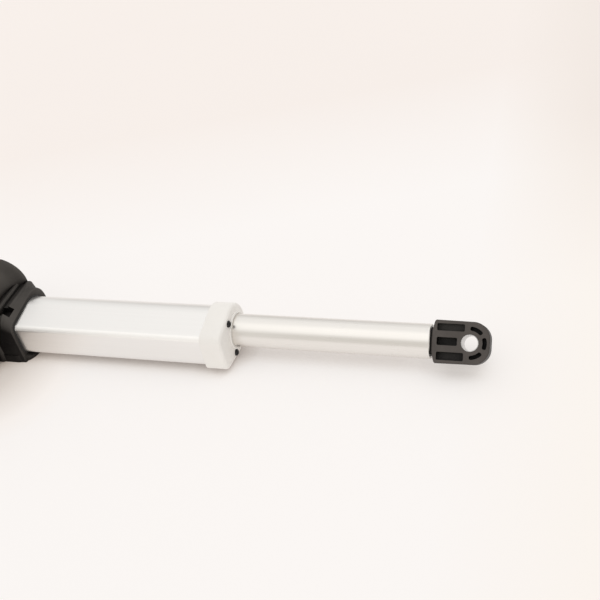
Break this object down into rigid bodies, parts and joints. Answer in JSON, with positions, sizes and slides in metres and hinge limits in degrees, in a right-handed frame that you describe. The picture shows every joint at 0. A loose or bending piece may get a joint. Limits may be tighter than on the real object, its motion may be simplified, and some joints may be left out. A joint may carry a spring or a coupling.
{
  "type": "linear actuator",
  "caption": "Electric bed actuator: a worm-geared motor turns a spindle that runs a round rod in and out of a drafted aluminium tube, with an eye at each end.",
  "frame": {"origin": "centre of the rear eye's bore", "axes": "+X along the spindle towards the rod eye, +Z along the rear eye's bore and up as it lies on its side, -Y towards the tube's flat and the motor"},
  "size_m": [0.5406, 0.169, 0.076],
  "materials": {
    "casing_black": "fine moulded grain",
    "eye_black": "glass-filled, slightly glossy",
    "board_part": "moulded",
    "screw_black": "black oxide",
    "rubber_black": "matt",
    "tube_aluminium": "satin anodised extrusion",
    "cap_white": "satin moulded",
    "board_green": "lacquered",
    "bush_steel": "turned",
    "motor_steel": "zinc plated",
    "ferrite": "sintered",
    "bronze": "sintered bronze",
    "carbon": "pressed carbon",
    "copper": "copper",
    "gear_plastic": "acetal",
    "rod_satin": "satin drawn"
  },
  "bodies": {
    "housing": {"casing_lower": "casing_black", "casing_upper": "casing_black", "casing_screws": "screw_black", "tube_seal": "rubber_black", "outer_tube": "tube_aluminium", "end_cap": "cap_white", "end_cap_screws": "screw_black", "rod_guide_bush": "cap_white", "rod_wiper": "cap_white", "limit_switch_board": "board_green", "limit_switches": "board_part", "rear_eye": "eye_black", "rear_eye_bush": "bush_steel", "thrust_bearing": "bush_steel", "spindle_bearing": "bush_steel", "motor_can": "motor_steel", "motor_front_bush": "bronze", "motor_magnets": "ferrite", "brush_holder": "board_part", "carbon_brushes": "carbon", "motor_end_bell": "board_part", "motor_rear_bush": "bronze", "worm_end_bush": "bronze", "motor_front_cushion": "rubber_black", "motor_rear_cushion": "rubber_black", "motor_cover": "casing_black", "cover_bolts": "screw_black", "connection_board": "board_green", "board_relays": "board_part", "board_capacitor": "tube_aluminium", "lead_socket": "casing_black", "socket_contacts": "bronze"},
    "rotor": {"motor_shaft": "bush_steel", "worm": "bush_steel", "armature_core": "motor_steel", "armature_windings": "copper", "commutator": "copper"},
    "spindle_unit": {"spindle": "bush_steel", "wheel_key": "bush_steel", "worm_wheel": "gear_plastic", "spindle_spacer": "bush_steel", "spindle_end_guide": "gear_plastic", "spindle_circlip": "bush_steel"},
    "rod": {"inner_rod": "rod_satin", "spindle_nut": "gear_plastic", "nut_pins": "bush_steel", "rod_snap_ring": "bush_steel"},
    "rod_end": {"rod_eye": "eye_black", "rod_eye_bush": "bush_steel"}
  },
  "joints": [
    {"name": "motor_spin", "type": "hinge", "parent": "housing", "child": "rotor", "pos_m": [0.063, 0, 0.023], "axis": [0, 1, 0], "range_deg": [-9590, 287900]},
    {"name": "spindle_turn", "type": "hinge", "parent": "housing", "child": "spindle_unit", "pos_m": [0.063, 0, 0], "axis": [1, 0, 0], "range_deg": [-300, 9000]},
    {"name": "rod_slide", "type": "slide", "parent": "housing", "child": "rod", "axis": [1, 0, 0], "range_m": [-0.15, 0.005]},
    {"name": "rod_eye_turn", "type": "hinge", "parent": "rod", "child": "rod_end", "pos_m": [0.5105, 0, 0], "axis": [1, 0, 0], "range_deg": [-45, 45]}
  ],
  "couplings": [
    {"joint": "spindle_turn", "follows": "motor_spin", "ratio": 0.03125},
    {"joint": "rod_slide", "follows": "motor_spin", "m_per_rad": -0.000029842}
  ]
}
